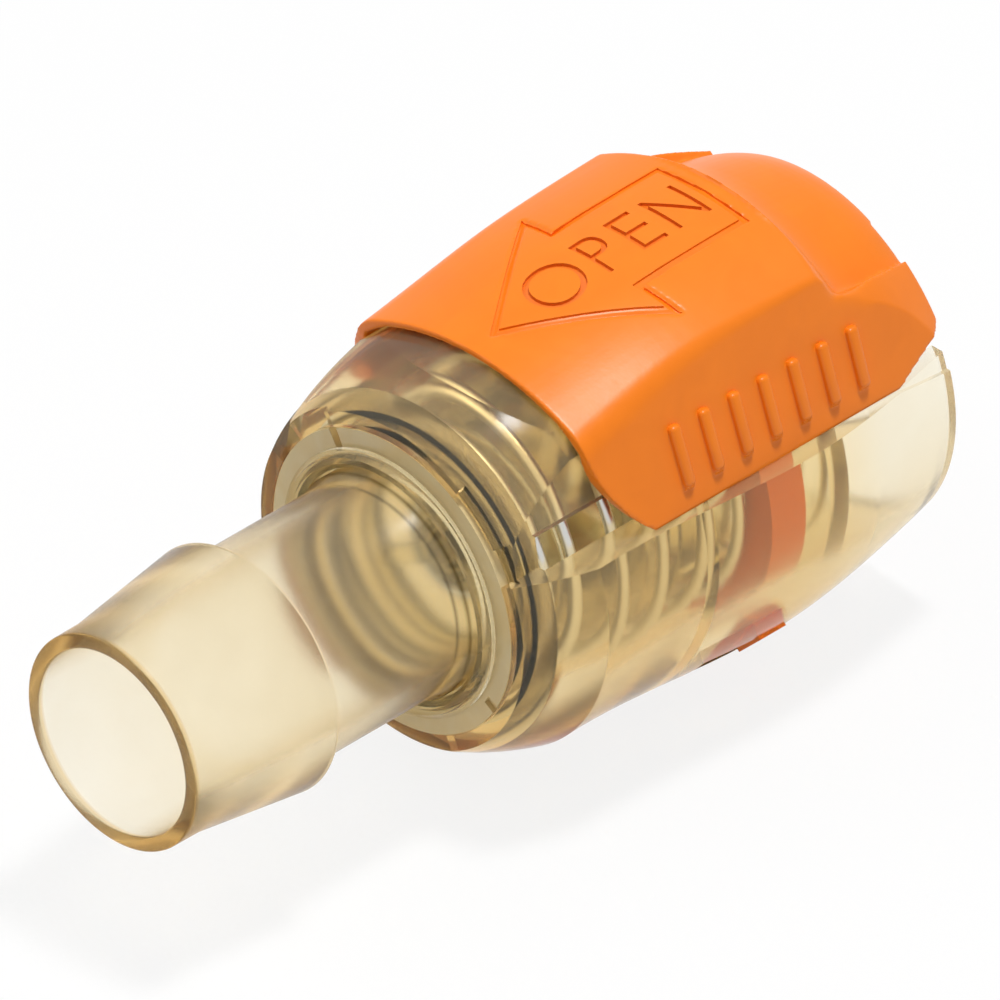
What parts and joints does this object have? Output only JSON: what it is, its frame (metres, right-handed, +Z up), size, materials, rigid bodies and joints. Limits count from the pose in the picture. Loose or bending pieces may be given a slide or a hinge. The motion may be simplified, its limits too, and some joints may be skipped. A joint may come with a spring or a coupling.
{
  "type": "valved hose barb coupling",
  "caption": "Clear valved quick coupling, socket half, with a straight hose barb and an orange slide latch that releases the plug.",
  "frame": {"origin": "centre of the flow bore at the open end of the hose barb", "axes": "+X along the flow axis from the barb to the mouth of the socket, +Z up through the slide latch"},
  "size_m": [0.0529, 0.025, 0.0267],
  "materials": {
    "clear_amber": "clear amber moulding, polished",
    "orange": "satin orange moulding",
    "spring_steel": "drawn stainless wire",
    "seal": "pale elastomer"
  },
  "bodies": {
    "body": {"hose_barb": "clear_amber", "barb_seal": "seal", "front_clip": "clear_amber", "outer_housing": "clear_amber", "inner_body": "clear_amber", "valve_guide": "clear_amber", "latch_spring": "spring_steel", "valve_spring": "spring_steel"},
    "latch": {"slide_latch": "orange", "lock_ring": "orange"},
    "valve": {"valve_poppet": "clear_amber", "poppet_seal": "seal"}
  },
  "joints": [
    {"name": "latch_slide", "type": "slide", "parent": "body", "child": "latch", "axis": [-1, 0, 0], "range_m": [0, 0.0036], "stiffness_N_per_m": 1200, "deforming": ["latch_spring"]},
    {"name": "valve_slide", "type": "slide", "parent": "body", "child": "valve", "axis": [-1, 0, 0], "range_m": [0, 0.003], "stiffness_N_per_m": 300, "deforming": ["valve_spring"]}
  ]
}
